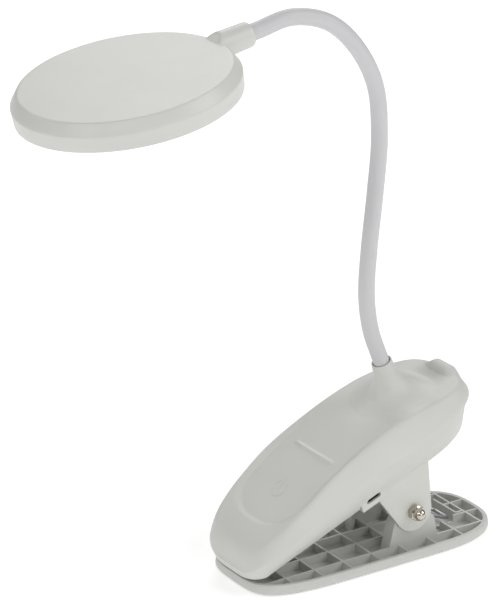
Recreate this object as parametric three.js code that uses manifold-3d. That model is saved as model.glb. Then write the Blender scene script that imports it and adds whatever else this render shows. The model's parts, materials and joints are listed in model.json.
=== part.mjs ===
// Clip-on reading lamp: a spring clip whose upper jaw is the battery housing, a flexible neck
// and a round light head. Millimetres, +Z up, front of the clip towards -Y.
// Origin: centre of the flat underside of the lower jaw.
import * as THREE from 'three';
import { mergeVertices } from 'three/addons/utils/BufferGeometryUtils.js';
import Module from 'manifold-3d';

const wasm = await Module();
wasm.setup();

// ---- driving dimensions -------------------------------------------------------------------
const GAP = 0.3; // clearance between neighbouring pieces
const degrees = THREE.MathUtils.degToRad;

const JAW = { halfWidth: 29, frontY: -69.35, rearY: 69.35, height: 5.7, floor: 1.2, rim: 1.9 };
const JAW_PLAN = { frontBlend: -5.35, rearBlend: 24.95, frontPower: 4, rearPower: 2.8 };
const RIB = { thick: 1.0, top: 5.5, sideX: [6.13, 18.4], firstY: -51.95, pitchY: 15.95, count: 8 };
const SPRING_BAY = { x0: -18.4, x1: 6.13, y0: 43.75, y1: 55.6, wallX0: -14, wallX1: 4.2 };

const PIVOT = { y: 18, z: 22.5 }; // hinge line of the clip, along X
const ROD = { radius: 2, reach: 25.8, clearance: 0.25 };
const JAW_LUG = { outerX: 19, thick: 2.5, tipR: 8, flangeX: 12.5 };
const BODY_LUG = { outerX: 21.7, innerX: 19.4, tipR: 10 };
const NUT = { flats: 7, hexHeight: 3.2, height: 7, domeR: 2.9 };
const SPRING = { wireR: 0.9, coilR: 4.2, turns: 3.378, innerX: 5, pitch: 1.85 };

// The housing is set out in its own leaning frame: s runs up the sole from the nose and h
// stands square off the sole.
const HOUSING = { noseY: -70, noseZ: 7.25, tilt: degrees(22.05), length: 140.8, halfWidth: 28.5 };
const HOUSING_PLAN = { frontBlend: 64, rearBlend: 96, frontPower: 4, rearPower: 3.2 };
const SOLE_HALF_WIDTH = 20.5;
const CREST_LINE = [[0, 4], [4, 9.6], [11, 14.6], [20, 18], [33, 21.9], [53, 27.2], [78, 30.2],
  [102, 29.6], [116, 27.4], [139, 23.2]];
const SHOULDER_LINE = [[0, 3.6], [5, 7], [12, 9.2], [26, 12], [39, 14.7], [60, 17], [94, 17.8],
  [119, 17.7], [139, 17.4]];
const PARTING_LINE = [[62.5, -6], [62.5, 6.5], [67, 13], [75.6, 16.9], [93.7, 14], [115.4, 14.7],
  [126.9, 16.1], [145, 17.5]];
// The lower shell is a boat hull; its plan at rising heights: [h, half width, rear end].
const HULL_LINE = [[-1.7, 19.6, 126.5], [1, 21.6, 131], [4, 23, 132.9], [8, 24.9, 133.9],
  [12, 26.2, 135.6], [18, 27.3, 138]];
const HULL_PLAN = { frontBlend: 64, rearBlend: 100.8, frontPower: 4, rearPower: 3.6 };
const HULL_FRONT = 62.8;
const CHARGE_PANEL = { rear: 78, top: 17, innerX: 19.7, outerX: 22.3 }; // flat, round the socket
// share of the half width where the flank turns over into the top: tighter round the rear
const CREASE = { front: 0.895, rear: 0.96, fromS: 100, toS: 134 };
const RECESS = { depth: 1.3, frontS: 17.5, halfWidth: 25, fadeFrom: 62, fadeTo: 88, bevel: 5 };
const WALL = 2;
const DISH = { s: 124, depth: 2.6, halfX: 12, halfS: 9 }; // thumb dish behind the neck
const REAR_TAB = { halfX: 7.2, y: 48.2, z: 79.8, depth: 3, rise: 3 };
const USB = { s: 70.2, h: 2.1, length: 8.2, height: 2.4 };

const BOSS = { y: 19.3, z: 75, lean: degrees(20), height: 18.4, rimR: 4.95, flareR: 13, boreR: 4.2 };
const NECK = { radius: 3.85, links: 8, sunk: 8, stub: 8, tail: 26, sides: 12 };
// centre line of the flexible neck in the plane of symmetry, from the boss to the head collar
const NECK_POINTS = [[22, 67.5], [13, 92.3], [7, 108.4], [4.3, 126], [5.3, 148], [8.3, 176],
  [10.1, 202], [7.2, 226.5], [-3.5, 246], [-18.5, 259.4], [-38, 264.7], [-55.4, 261.6],
  [-73.5, 258.3]];

const HEAD = { y: -121.87, z: 247.46, tilt: degrees(10.48) };
const DISC = { radius: 50, rimBase: 49.6, topR: 46.5, rise: 4.8, drop: 7.33, wall: 1.8 };
const COLLAR = { radius: 5.75, length: 13.5, lift: 1.7, boreR: 4.2 };
// the collar swells out of the disc's top edge: [radius, distance from the disc's centre]
const COLLAR_ROOT = [[0, 45.5], [4.2, 45.75], [5.3, 46.5]];
const HEAD_SIDES = 48;
const SCREW_CIRCLE_R = 34;
const SCREW_ANGLES = [0.5, 0.5 + (2 * Math.PI) / 3, 0.5 + (4 * Math.PI) / 3];

// ---- colours ------------------------------------------------------------------------------
const finish = (color, roughness, metalness = 0) =>
  new THREE.MeshStandardMaterial({ color, roughness, metalness });
const SHELL_WHITE = finish(0xd3d4cc, 0.55);
const NECK_WHITE = finish(0xdcdcdd, 0.6);
const NICKEL = finish(0xb9a99a, 0.25, 1);
const STEEL = finish(0x9a9ca0, 0.35, 1);
const BOARD_GREEN = finish(0x1f5a38, 0.6);
const CELL_BLUE = finish(0x3c6ea8, 0.5);
const COPPER = finish(0xb87333, 0.4, 1);
const DIFFUSER_WHITE = finish(0xf1f1ec, 0.4);
const BOARD_WHITE = finish(0xe6e7e2, 0.5);
const MANDREL_WHITE = finish(0xd9d8d2, 0.6);
const WIRE_RED = finish(0xb02a22, 0.6);
const WIRE_BLACK = finish(0x26272b, 0.6);

// ---- solids and booleans ------------------------------------------------------------------
function toSolid(geometry) {
  let bare = geometry.clone();
  for (const name of ['normal', 'uv']) bare.deleteAttribute(name);
  bare = mergeVertices(bare, 1e-4);
  const vertices = bare.attributes.position.array;
  const kept = dropFlatTriangles(bare.index.array);
  const faces = signedVolume(vertices, kept) < 0 ? turnedOver(kept) : kept;
  const mesh = { numProp: 3, vertProperties: new Float32Array(vertices) };
  return new wasm.Manifold(new wasm.Mesh({ ...mesh, triVerts: new Uint32Array(faces) }));
}

function dropFlatTriangles(ids) {
  const kept = [];
  for (let i = 0; i < ids.length; i += 3) {
    const [a, b, c] = [ids[i], ids[i + 1], ids[i + 2]];
    if (a !== b && b !== c && a !== c) kept.push(a, b, c);
  }
  return kept;
}

function turnedOver(ids) {
  const turned = [];
  for (let i = 0; i < ids.length; i += 3) turned.push(ids[i], ids[i + 2], ids[i + 1]);
  return turned;
}

function signedVolume(vertices, ids) {
  const at = (i) => new THREE.Vector3().fromArray(vertices, 3 * i);
  let sum = 0;
  for (let i = 0; i < ids.length; i += 3) {
    sum += at(ids[i]).dot(at(ids[i + 1]).cross(at(ids[i + 2])));
  }
  return sum / 6;
}

function toGeometry(solid) {
  const { vertProperties, triVerts } = solid.getMesh();
  const geometry = new THREE.BufferGeometry();
  geometry.setAttribute('position', new THREE.BufferAttribute(vertProperties.slice(), 3));
  geometry.setIndex(new THREE.BufferAttribute(triVerts.slice(), 1));
  geometry.computeVertexNormals();
  return geometry;
}

const joined = (solids) => solids.reduce((whole, solid) => whole.add(solid));

// A closed skin over rings of equal point counts; the end rings have no area.
function loft(rings) {
  const count = rings[0].length;
  const geometry = new THREE.BufferGeometry().setFromPoints(rings.flat());
  const ids = [];
  for (let r = 0; r + 1 < rings.length; r++) {
    for (let i = 0; i < count; i++) {
      const a = r * count + i;
      const b = r * count + ((i + 1) % count);
      ids.push(a, b, b + count, a, b + count, a + count);
    }
  }
  geometry.setIndex(ids);
  return toSolid(geometry);
}

function box(x0, x1, y0, y1, z0, z1) {
  const geometry = new THREE.BoxGeometry(x1 - x0, y1 - y0, z1 - z0);
  geometry.translate((x0 + x1) / 2, (y0 + y1) / 2, (z0 + z1) / 2);
  return toSolid(geometry);
}

const polygon = (points) => new THREE.Shape(points.map(([a, b]) => new THREE.Vector2(a, b)));

// A side profile, drawn in (y, z), extruded from x0 to x1.
function sidePlate(shape, x0, x1, curveSegments = 12) {
  const options = { depth: x1 - x0, bevelEnabled: false, curveSegments };
  const geometry = new THREE.ExtrudeGeometry(shape, options);
  const turn = new THREE.Matrix4().set(0, 0, 1, x0, 1, 0, 0, 0, 0, 1, 0, 0, 0, 0, 0, 1);
  return toSolid(geometry.applyMatrix4(turn));
}

const bothSides = (shape, x0, x1) => sidePlate(shape, x0, x1).add(sidePlate(shape, -x1, -x0));

// A turned solid about +Z; a profile that stays off the axis must end where it began.
function lathe(profile, sides) {
  const points = profile.map(([r, h]) => new THREE.Vector2(r, h));
  return toSolid(new THREE.LatheGeometry(points, sides).rotateX(Math.PI / 2));
}

const peg = (radius, z0, z1, sides = 20) => lathe([[0, z0], [radius, z0], [radius, z1], [0, z1]], sides);
const tube = (inner, outer, z0, z1, sides = 24) =>
  lathe([[inner, z0], [outer, z0], [outer, z1], [inner, z1], [inner, z0]], sides);

// Lays a solid built about +Z along X, through the hinge line of the clip.
const onHinge = (solid) => solid.rotate([0, 90, 0]).translate([0, PIVOT.y, PIVOT.z]);
const hingeHole = () => onHinge(peg(ROD.radius + ROD.clearance, -40, 40));

// A round bar along a curve with flat ends, or domed ones when the bar is a bead of the neck.
function bar(curve, radius, steps, sides, domed = false) {
  const frames = curve.computeFrenetFrames(steps, false);
  const length = curve.getLength();
  const tip = (u) => Array.from({ length: sides }, () => curve.getPointAt(u));
  const rings = [tip(0)];
  for (let i = 0; i <= steps; i++) {
    const u = barStation(i / steps, domed, radius / length);
    const fromTip = Math.min(u, 1 - u) * length;
    const thin = domed && fromTip < radius;
    const r = thin ? radius * Math.sqrt(1 - (1 - fromTip / radius) ** 2) : radius;
    if (r < 1e-3) continue;
    rings.push(ringRound(curve.getPointAt(u), frames.normals[i], frames.binormals[i], r, sides));
  }
  rings.push(tip(1));
  return loft(rings);
}

// Stations crowd towards the ends of a domed bar, where its radius changes.
const barStation = (u, domed, share) => {
  if (!domed) return u;
  const edge = 0.3;
  if (u < edge) return share * (1 - Math.cos((Math.PI / 2) * (u / edge)));
  if (u > 1 - edge) return 1 - barStation(1 - u, true, share);
  return share + ((u - edge) / (1 - 2 * edge)) * (1 - 2 * share);
};

function ringRound(centre, normal, binormal, radius, sides) {
  return Array.from({ length: sides }, (_, i) => {
    const angle = (2 * Math.PI * i) / sides;
    const point = centre.clone().addScaledVector(normal, radius * Math.cos(angle));
    return point.addScaledVector(binormal, radius * Math.sin(angle));
  });
}

// Smooth height at `at` along a line of hand-set [position, height] points.
function heightOn(line, at) {
  const clamped = THREE.MathUtils.clamp(at, line[0][0], line[line.length - 1][0]);
  const next = line.findIndex(([s], i) => i > 0 && s >= clamped);
  const slope = (i) => {
    const [a, b] = [line[Math.max(i - 1, 0)], line[Math.min(i + 1, line.length - 1)]];
    return (b[1] - a[1]) / (b[0] - a[0]);
  };
  const [[s0, h0], [s1, h1]] = [line[next - 1], line[next]];
  const span = s1 - s0;
  const t = (clamped - s0) / span;
  const [t2, t3] = [t * t, t * t * t];
  return (2 * t3 - 3 * t2 + 1) * h0 + (t3 - 2 * t2 + t) * span * slope(next - 1)
    + (3 * t2 - 2 * t3) * h1 + (t3 - t2) * span * slope(next);
}

// ---- plan outline shared by the jaw and the housing ---------------------------------------
// A long oval of `count` points: superellipse ends joined by straight sides.
function planOutline(plan, halfWidth, front, rear, count) {
  return Array.from({ length: count }, (_, i) => {
    const angle = (2 * Math.PI * i) / count;
    const atFront = Math.cos(angle) < 0;
    const power = 2 / (atFront ? plan.frontPower : plan.rearPower);
    const across = Math.sign(Math.sin(angle)) * Math.abs(Math.sin(angle)) ** power;
    const reach = Math.abs(Math.cos(angle)) ** power;
    const along = atFront ? plan.frontBlend + (front - plan.frontBlend) * reach
      : plan.rearBlend + (rear - plan.rearBlend) * reach;
    return new THREE.Vector2(halfWidth * across, along);
  });
}

// The outline point drawn in towards the spine of the oval; share 0 lies on the spine.
function drawnIn(plan, p, share) {
  const spine = THREE.MathUtils.clamp(p.y, plan.frontBlend, plan.rearBlend);
  return new THREE.Vector2(p.x * share, spine + (p.y - spine) * share);
}

const ringAt = (points, z) => points.map((p) => new THREE.Vector3(p.x, p.y, z));

function ovalPrism(plan, outline, z0, z1) {
  const spine = outline.map((p) => drawnIn(plan, p, 0));
  return loft([ringAt(spine, z0), ringAt(outline, z0), ringAt(outline, z1), ringAt(spine, z1)]);
}

// ---- lower jaw ----------------------------------------------------------------------------
const jawOutline = (inset) =>
  planOutline(JAW_PLAN, JAW.halfWidth - inset, JAW.frontY + inset, JAW.rearY - inset, 56);
const jawPrism = (inset, z0, z1) => ovalPrism(JAW_PLAN, jawOutline(inset), z0, z1);

function jawTray() {
  const roundedEdge = [[3, 0], [1.2, 0.5], [0.3, 1.5], [0, 2.6], [0.2, 4.4], [0.6, JAW.height]];
  const spine = jawOutline(3).map((p) => drawnIn(JAW_PLAN, p, 0));
  const sides = roundedEdge.map(([inset, z]) => ringAt(jawOutline(inset), z));
  const block = loft([ringAt(spine, 0), ...sides, ringAt(spine, JAW.height)]);
  return block.subtract(jawPrism(JAW.rim + 0.6, JAW.floor, JAW.height + 1));
}

// The waffle of ribs, with a bay left clear at the rear for the bridge of the spring.
function jawRibs() {
  const half = RIB.thick / 2;
  const bars = [];
  for (const x of RIB.sideX) {
    for (const centre of [-x, x]) bars.push(box(centre - half, centre + half, -72, 72, 1, RIB.top));
  }
  for (let i = 0; i < RIB.count; i++) {
    const y = RIB.firstY + RIB.pitchY * i;
    bars.push(box(-30, 30, y - half, y + half, 1, RIB.top));
  }
  const { x0, x1, y0, y1, wallX0, wallX1 } = SPRING_BAY;
  const bay = box(x0 + half, x1 - half, y0 + half, y1, 0, 10).add(box(-8, 8, 26, 52.5, 2.4, 10));
  const bayWall = box(wallX0, wallX1, y1 - half, y1 + half, 1, RIB.top);
  const bayEnd = box(wallX1 - half, wallX1 + half, y1, y1 + 4.5, 1, RIB.top);
  const waffle = joined(bars).subtract(bay).add(bayWall).add(bayEnd);
  return waffle.intersect(jawPrism(1.2, JAW.floor - 0.3, JAW.height));
}

// Upright lugs of channel section that carry the hinge rod.
function jawLugs() {
  const { outerX, thick, tipR, flangeX } = JAW_LUG;
  const shape = new THREE.Shape();
  shape.moveTo(5, 1);
  shape.lineTo(8.4, 16);
  shape.absarc(PIVOT.y, PIVOT.z, tipR, degrees(195), degrees(-15), true);
  shape.lineTo(31.5, 16);
  shape.lineTo(34.7, 1);
  const frontFlange = polygon([[5, 1], [8.4, 16], [10.6, 20.5], [12, 18], [10.6, 15], [7.2, 1]]);
  const rearFlange = polygon([[34.7, 1], [31.5, 16], [29.3, 15], [32.5, 1]]);
  const plates = bothSides(shape, outerX - thick, outerX);
  const flanges = bothSides(frontFlange, flangeX, outerX).add(bothSides(rearFlange, flangeX, outerX));
  return plates.add(flanges).subtract(hingeHole());
}

const lowerJaw = () => jawTray().add(jawRibs()).add(jawLugs());

// ---- housing form, in its own leaning frame -------------------------------------------------
const TILT_DEGREES = THREE.MathUtils.radToDeg(HOUSING.tilt);
const onHousing = (solid) =>
  solid.rotate([TILT_DEGREES, 0, 0]).translate([0, HOUSING.noseY, HOUSING.noseZ]);

const smooth = (t) => THREE.MathUtils.smoothstep(t, 0, 1);

// Depth of the spoon-shaped panel sunk into the top, fading out towards the neck.
function recessDepth(x, s) {
  const nose = Math.max(0, 1 - (s - RECESS.frontS) / 24);
  const radius = (Math.abs(x / RECESS.halfWidth) ** 2.6 + nose ** 2.6) ** (1 / 2.6);
  const inside = smooth(((1 - radius) * RECESS.halfWidth) / RECESS.bevel);
  return RECESS.depth * inside * (1 - smooth((s - RECESS.fadeFrom) / (RECESS.fadeTo - RECESS.fadeFrom)));
}

const dishDepth = (x, s) =>
  DISH.depth * Math.exp(-((x / DISH.halfX) ** 2) - ((s - DISH.s) / DISH.halfS) ** 2);

function creaseShare(s) {
  const { front, rear, fromS, toS } = CREASE;
  return THREE.MathUtils.lerp(front, rear, smooth((s - fromS) / (toS - fromS)));
}

// Height of the top at a share of the half width: rounded over the edge, then nearly level.
function crownHeight(p, share, thickness) {
  const t = Math.min(1, (1 - share) / (1 - creaseShare(p.y)));
  const lift = (1 - (1 - t) ** 2) ** 0.8;
  const low = heightOn(SHOULDER_LINE, p.y);
  const high = heightOn(CREST_LINE, p.y) - thickness;
  return low + (high - low) * lift - lift * (recessDepth(p.x, p.y) + dishDepth(p.x, p.y));
}

// The housing's outer form, or with an inset the form of its hollow, open below the sole.
function housingForm(inset = 0, thickness = 0, below = 0) {
  const { halfWidth, length } = HOUSING;
  const outline = planOutline(HOUSING_PLAN, halfWidth - inset, inset, length - inset, 48);
  const soleX = (p) => Math.sign(p.x) * Math.min(Math.abs(p.x) * 0.93, SOLE_HALF_WIDTH - inset);
  const spine = outline.map((p) => new THREE.Vector3(0, drawnIn(HOUSING_PLAN, p, 0).y, -below));
  const soleEdge = outline.map((p) => new THREE.Vector3(soleX(p), p.y, -below));
  const flank = outline.map((p) => {
    const x = soleX(p) + (p.x - soleX(p)) * 0.7;
    return new THREE.Vector3(x, p.y, heightOn(SHOULDER_LINE, p.y) * 0.5);
  });
  const crown = [1, 0.99, 0.965, 0.93, CREASE.front, 0.8, 0.68, 0.4, 0].map((share) =>
    outline.map((p) => {
      const q = drawnIn(HOUSING_PLAN, p, share);
      return new THREE.Vector3(q.x, q.y, crownHeight(q, share, thickness));
    }));
  return loft([spine, soleEdge, flank, ...crown]);
}

// Everything below the line where the two shells meet, the line raised by `lift`.
function belowParting(lift) {
  const line = PARTING_LINE.map(([s, h]) => [s - lift * 0.5, h + lift]);
  const front = line[0][0];
  return sidePlate(polygon([...line, [145, -60], [front, -60]]), -50, 50);
}

const onBoss = (solid) =>
  solid.rotate([THREE.MathUtils.radToDeg(BOSS.lean), 0, 0]).translate([0, BOSS.y, BOSS.z]);

// Flared collar that the neck rises out of.
function bossFlare() {
  const { height, rimR, flareR } = BOSS;
  const curve = new THREE.CubicBezierCurve(
    new THREE.Vector2(flareR, 0), new THREE.Vector2(rimR + 3.4, 1.5),
    new THREE.Vector2(rimR + 1.2, height - 10), new THREE.Vector2(rimR, height));
  const side = curve.getPoints(8).map((p) => [p.x, p.y]);
  return onBoss(lathe([[0, -5], [flareR, -5], ...side, [0, height]], 28));
}

function rearTab() {
  const shape = new THREE.Shape();
  shape.absellipse(REAR_TAB.y, REAR_TAB.z, REAR_TAB.depth, REAR_TAB.rise, 0, 2 * Math.PI, false);
  return sidePlate(shape, -REAR_TAB.halfX, REAR_TAB.halfX, 8);
}

const SHELL_SCREWS = [[-9, 22], [9, 22], [-11, 114.5], [11, 114.5]]; // [x, s]

function upperShell() {
  const hollow = housingForm(WALL, WALL + 0.4, 8);
  const posts = SHELL_SCREWS.map(([x, s]) => peg(2.6, 2.4, 26, 16).translate([x, s, 0]));
  const pilots = SHELL_SCREWS.map(([x, s]) => peg(1.4, 1, 10, 12).translate([x, s, 0]));
  const shell = housingForm().subtract(hollow).add(joined(posts).intersect(housingForm(0.5, 1)));
  const closed = onHousing(shell.subtract(joined(pilots)).subtract(belowParting(0)));
  const flare = bossFlare().subtract(onHousing(housingForm(WALL, WALL + 0.4, 8)));
  return closed.add(flare).add(rearTab()).subtract(onBoss(peg(BOSS.boreR, -12, 25, 24)));
}

// The lower shell's form, or with an inset the form of its hollow, kept inside the upper shell's.
function hullForm(inset) {
  const { halfWidth, length } = HOUSING;
  const plan = (half, rear) => planOutline(HULL_PLAN, half - inset, 40, rear - inset, 48);
  const sides = HULL_LINE.map(([h, half, rear], i) => ringAt(plan(half, rear), i === 0 ? h + inset : h));
  const flat = (ring) => ring.map((p) => new THREE.Vector3(0, drawnIn(HULL_PLAN, p, 0).y, p.z));
  const hull = loft([flat(sides[0]), ...sides, flat(sides[sides.length - 1])]);
  const edge = inset + 0.4;
  const upper = planOutline(HOUSING_PLAN, halfWidth - edge, edge, length - edge, 48);
  return hull.intersect(ovalPrism(HOUSING_PLAN, upper, -30, 60));
}

function chargePanels() {
  const { rear, top, innerX, outerX } = CHARGE_PANEL;
  const bottom = HULL_LINE[0][0];
  return bothSides(polygon([[HULL_FRONT, bottom], [rear, bottom], [rear, top], [HULL_FRONT, top]]),
    innerX - WALL, outerX);
}

function bodyLugs() {
  const shape = new THREE.Shape();
  shape.moveTo(-2, 32.7);
  shape.absarc(PIVOT.y, PIVOT.z, BODY_LUG.tipR, degrees(216.5), degrees(364.6), false);
  shape.lineTo(25.5, 47);
  shape.lineTo(-2, 36.5);
  return bothSides(shape, BODY_LUG.innerX, BODY_LUG.outerX).subtract(hingeHole());
}

function usbWindow() {
  const half = (USB.length - USB.height) / 2;
  const slot = new THREE.Shape();
  slot.absarc(USB.s + half, USB.h, USB.height / 2, degrees(-90), degrees(90), false);
  slot.absarc(USB.s - half, USB.h, USB.height / 2, degrees(90), degrees(270), false);
  return sidePlate(slot, 15, 30, 6);
}

function lowerShell() {
  const { rear, top, innerX } = CHARGE_PANEL;
  const hull = hullForm(0).add(chargePanels()).intersect(box(-40, 40, HULL_FRONT, 150, -20, 60));
  const socketRoom = box(-innerX, innerX, 40, rear - WALL, HULL_LINE[0][0] + WALL, top);
  const frontFloor = ovalPrism(HOUSING_PLAN, floorOutline(), 0, 2)
    .intersect(box(-40, 40, -5, 66, -1, 5));
  const below = belowParting(-GAP).add(box(-40, 40, -5, 63.2, -1, 5));
  const holes = SHELL_SCREWS.map(([x, s]) => screwHole().translate([x, s, soleUnder(s)]));
  const hollowed = hull.subtract(hullForm(WALL)).subtract(socketRoom);
  const shell = hollowed.add(frontFloor).intersect(below).subtract(joined(holes));
  return onHousing(shell.subtract(usbWindow())).add(bodyLugs());
}

const soleUnder = (s) => (s > HULL_FRONT ? HULL_LINE[0][0] : 0);

function floorOutline() {
  const inset = WALL + GAP;
  const half = SOLE_HALF_WIDTH - inset;
  const wide = planOutline(HOUSING_PLAN, HOUSING.halfWidth - inset, inset + 0.6, 120, 48);
  return wide.map((p) => new THREE.Vector2(THREE.MathUtils.clamp(p.x * 0.93, -half, half), p.y));
}

// ---- screws, shared by the housing and the head ---------------------------------------------
const screwHole = () => peg(1.5, -1, 5, 12).add(peg(2.5, -1, 1.2, 16));
const countersunkScrew = () => peg(2.2, 0, 0.9, 16).add(peg(1.1, 0.5, 7.5, 12));

// ---- pivot hardware and spring ------------------------------------------------------------
const pivotRod = () => onHinge(peg(ROD.radius, -ROD.reach, ROD.reach, 16));
const springMandrel = () => onHinge(tube(ROD.radius + GAP, 3, -16, 16, 20));

function acornNut(side) {
  const { flats, hexHeight, height, domeR } = NUT;
  const dome = [[0, 1], [domeR, 1], [domeR, height - domeR]];
  for (let i = 1; i < 5; i++) {
    const angle = (Math.PI / 2) * (i / 5);
    dome.push([domeR * Math.cos(angle), height - domeR + domeR * Math.sin(angle)]);
  }
  dome.push([0, height]);
  const hex = peg(flats / Math.sqrt(3), 0, hexHeight, 6);
  const bore = peg(ROD.radius + GAP, -1, 4.2, 16);
  const nut = hex.add(lathe(dome, 20)).subtract(bore);
  const base = BODY_LUG.outerX + GAP;
  return nut.rotate([0, 90 * side, 0]).translate([side * base, PIVOT.y, PIVOT.z]);
}

// Half of the double torsion spring, from the bridge's middle to the tip of the upper leg.
function springHalf(side) {
  const { coilR, turns, innerX, pitch } = SPRING;
  const point = (x, y, z) => new THREE.Vector3(side * x, y, z);
  const path = [point(2, 50, 4.4), point(5, 49.6, 4.6), point(6, 48, 5.4), point(5.5, 38, 9.5)];
  const steps = Math.round(turns * 12);
  for (let i = 0; i <= steps; i++) {
    const angle = degrees(-112) - (2 * Math.PI * turns * i) / steps;
    const x = innerX + (pitch * turns * i) / steps;
    path.push(point(x, PIVOT.y + coilR * Math.cos(angle), PIVOT.z + coilR * Math.sin(angle)));
  }
  const outerX = innerX + pitch * turns;
  path.push(point(outerX, 26, 32.5), point(outerX - 0.6, 36, 42), point(outerX - 1, 40, 45.6));
  return path;
}

function torsionSpring() {
  const path = [...springHalf(-1).reverse(), ...springHalf(1)];
  const curve = new THREE.CatmullRomCurve3(path, false, 'centripetal');
  curve.arcLengthDivisions = 1500;
  return bar(curve, SPRING.wireR, 130, 6);
}

// ---- neck ---------------------------------------------------------------------------------
const neckCurve = new THREE.CatmullRomCurve3(
  NECK_POINTS.map(([y, z]) => new THREE.Vector3(0, y, z)), false, 'centripetal');
neckCurve.arcLengthDivisions = 1200;
const NECK_LENGTH = neckCurve.getLength();

// The stretch of the neck's centre line between two distances from its lower end.
class NeckStretch extends THREE.Curve {
  constructor(start, end) {
    super();
    this.start = start;
    this.end = end;
  }

  getPoint(t, target = new THREE.Vector3()) {
    const along = this.start + (this.end - this.start) * t;
    return target.copy(neckCurve.getPointAt(THREE.MathUtils.clamp(along / NECK_LENGTH, 0, 1)));
  }
}

// Distances along the neck of the joints between its beads.
function neckBreaks() {
  const first = NECK.sunk + BOSS.height + NECK.stub;
  const last = NECK_LENGTH - NECK.tail;
  return Array.from({ length: NECK.links + 1 }, (_, i) => first + ((last - first) * i) / NECK.links);
}

const neckPiece = (start, end) =>
  bar(new NeckStretch(start, end), NECK.radius, 12, NECK.sides, true);

const neckLocknut = () => onBoss(peg(6, -7.6, -5.2, 6).subtract(peg(NECK.radius + GAP, -9, 0, 20)));

// ---- light head, built level about +Z and then leaned on its centre ------------------------
const onHead = (solid) =>
  solid.rotate([THREE.MathUtils.radToDeg(HEAD.tilt), 0, 0]).translate([0, HEAD.y, HEAD.z]);
const onNeckSide = (solid) => solid.rotate([-90, 0, 0]).translate([0, 0, COLLAR.lift]);

function headScrewSpots(solid) {
  return SCREW_ANGLES.map((angle) => solid.translate(
    [SCREW_CIRCLE_R * Math.cos(angle), SCREW_CIRCLE_R * Math.sin(angle), 0]));
}

function headShell() {
  const { radius, rimBase, topR, rise, drop, wall } = DISC;
  const outer = lathe([[0, -drop], [rimBase, -drop], [radius, -0.4], [radius - 0.3, 0.5],
    [topR + 1, rise - 0.5], [topR - 1, rise], [0, rise]], HEAD_SIDES);
  const hollow = lathe([[0, -drop - 1], [rimBase - wall, -drop - 1], [radius - wall, -0.4],
    [topR - wall, rise - wall], [0, rise - wall]], HEAD_SIDES);
  const tip = radius + COLLAR.length;
  const collar = onNeckSide(lathe([...COLLAR_ROOT, [COLLAR.radius, radius + 0.5],
    [COLLAR.radius, tip - 1.6], [COLLAR.radius - 0.9, tip], [0, tip]], 24));
  const posts = joined(headScrewSpots(peg(2.6, 1.9, rise - 0.5, 16)));
  const pilots = joined(headScrewSpots(peg(1.4, 1, rise - 0.8, 12)));
  const bore = onNeckSide(peg(COLLAR.boreR, radius - 0.8, tip + 2, 20));
  const shell = outer.add(collar).subtract(hollow).add(posts).subtract(pilots);
  return onHead(shell.subtract(bore));
}

function ledBoard() {
  const chips = [];
  for (let i = 0; i < 12; i++) {
    const angle = (2 * Math.PI * i) / 12;
    const [x, y] = [26 * Math.cos(angle), 26 * Math.sin(angle)];
    chips.push(box(x - 1.75, x + 1.75, y - 1.4, y + 1.4, -0.5, 0.6));
  }
  const board = peg(42, 0.3, 1.5, HEAD_SIDES).add(joined(chips));
  return onHead(board.subtract(joined(headScrewSpots(peg(1.4, -2, 3, 12)))));
}

const headScrew = (angle) => onHead(
  peg(2.2, -1.1, 0, 16).add(peg(1.1, -0.5, 3.4, 12)).translate(
    [SCREW_CIRCLE_R * Math.cos(angle), SCREW_CIRCLE_R * Math.sin(angle), 0]));

const reflectorRing = () => onHead(lathe(
  [[38.5, -1.9], [46.8, -4.6], [46.8, -3.8], [39, -1.1], [38.5, -1.9]], HEAD_SIDES));
const diffuser = () => onHead(peg(47.4, -6.8, -5.2, HEAD_SIDES));

// ---- inside the housing ---------------------------------------------------------------------
function batteryCell() {
  const [radius, length] = [9, 65];
  const cell = peg(radius, 0, length, 24).add(peg(2.8, length - 0.5, length + 1.2, 16));
  return onHousing(cell.rotate([90, 0, 0]).translate([-9.7, 110, 11.5]));
}

const controlBoard = () => onHousing(box(1.2, 19.2, 66, 104, 3.5, 4.7));
const controlChip = () => onHousing(box(6, 12, 84, 90, 5, 6.4));
const chargeLamp = () => onHousing(box(15.5, 17.5, 77, 79, 5, 6.2));

function usbSocket() {
  const [halfS, halfH] = [3.3, 0.9];
  const can = box(13.4, 21.9, USB.s - halfS, USB.s + halfS, USB.h - halfH, USB.h + halfH);
  const mouth = box(14.6, 24, USB.s - 2.95, USB.s + 2.95, USB.h - 0.55, USB.h + 0.55);
  const tongue = box(14, 21.2, USB.s - 2.1, USB.s + 2.1, USB.h - 0.2, USB.h + 0.2);
  return onHousing(can.subtract(mouth).add(tongue));
}

// The electrode lies against the inside of the sunk panel, under the touch mark.
const touchPlate = () => onHousing(
  box(-11, 11, -7, 7, -0.3, 0.3).rotate([15, 0, 0]).translate([0, 36, 17.6]));

function lead(points, radius = 0.7) {
  const curve = new THREE.CatmullRomCurve3(points.map((p) => new THREE.Vector3(...p)));
  return onHousing(bar(curve, radius, 14, 6));
}

const batteryLeadRed = () => lead([[-9.7, 42.6, 11.5], [-4, 40, 10], [3, 48, 7], [7, 60, 6.4],
  [9, 70, 5.8]]);
const batteryLeadBlack = () => lead([[-9.7, 111, 11.5], [-4, 113, 10], [3, 110, 8], [7, 104, 6.6],
  [8.5, 98, 5.8]]);
const touchLead = () => lead([[8, 41, 17.6], [12, 49, 15], [15, 60, 9.5], [15, 69, 5.8]], 0.5);

const shellScrew = ([x, s]) => onHousing(countersunkScrew().translate([x, s, soleUnder(s)]));

// ---- assembly -----------------------------------------------------------------------------
const lamp = new THREE.Group();

function addPiece(name, solid, material) {
  const mesh = new THREE.Mesh(toGeometry(solid), material);
  mesh.name = name;
  lamp.add(mesh);
}

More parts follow.
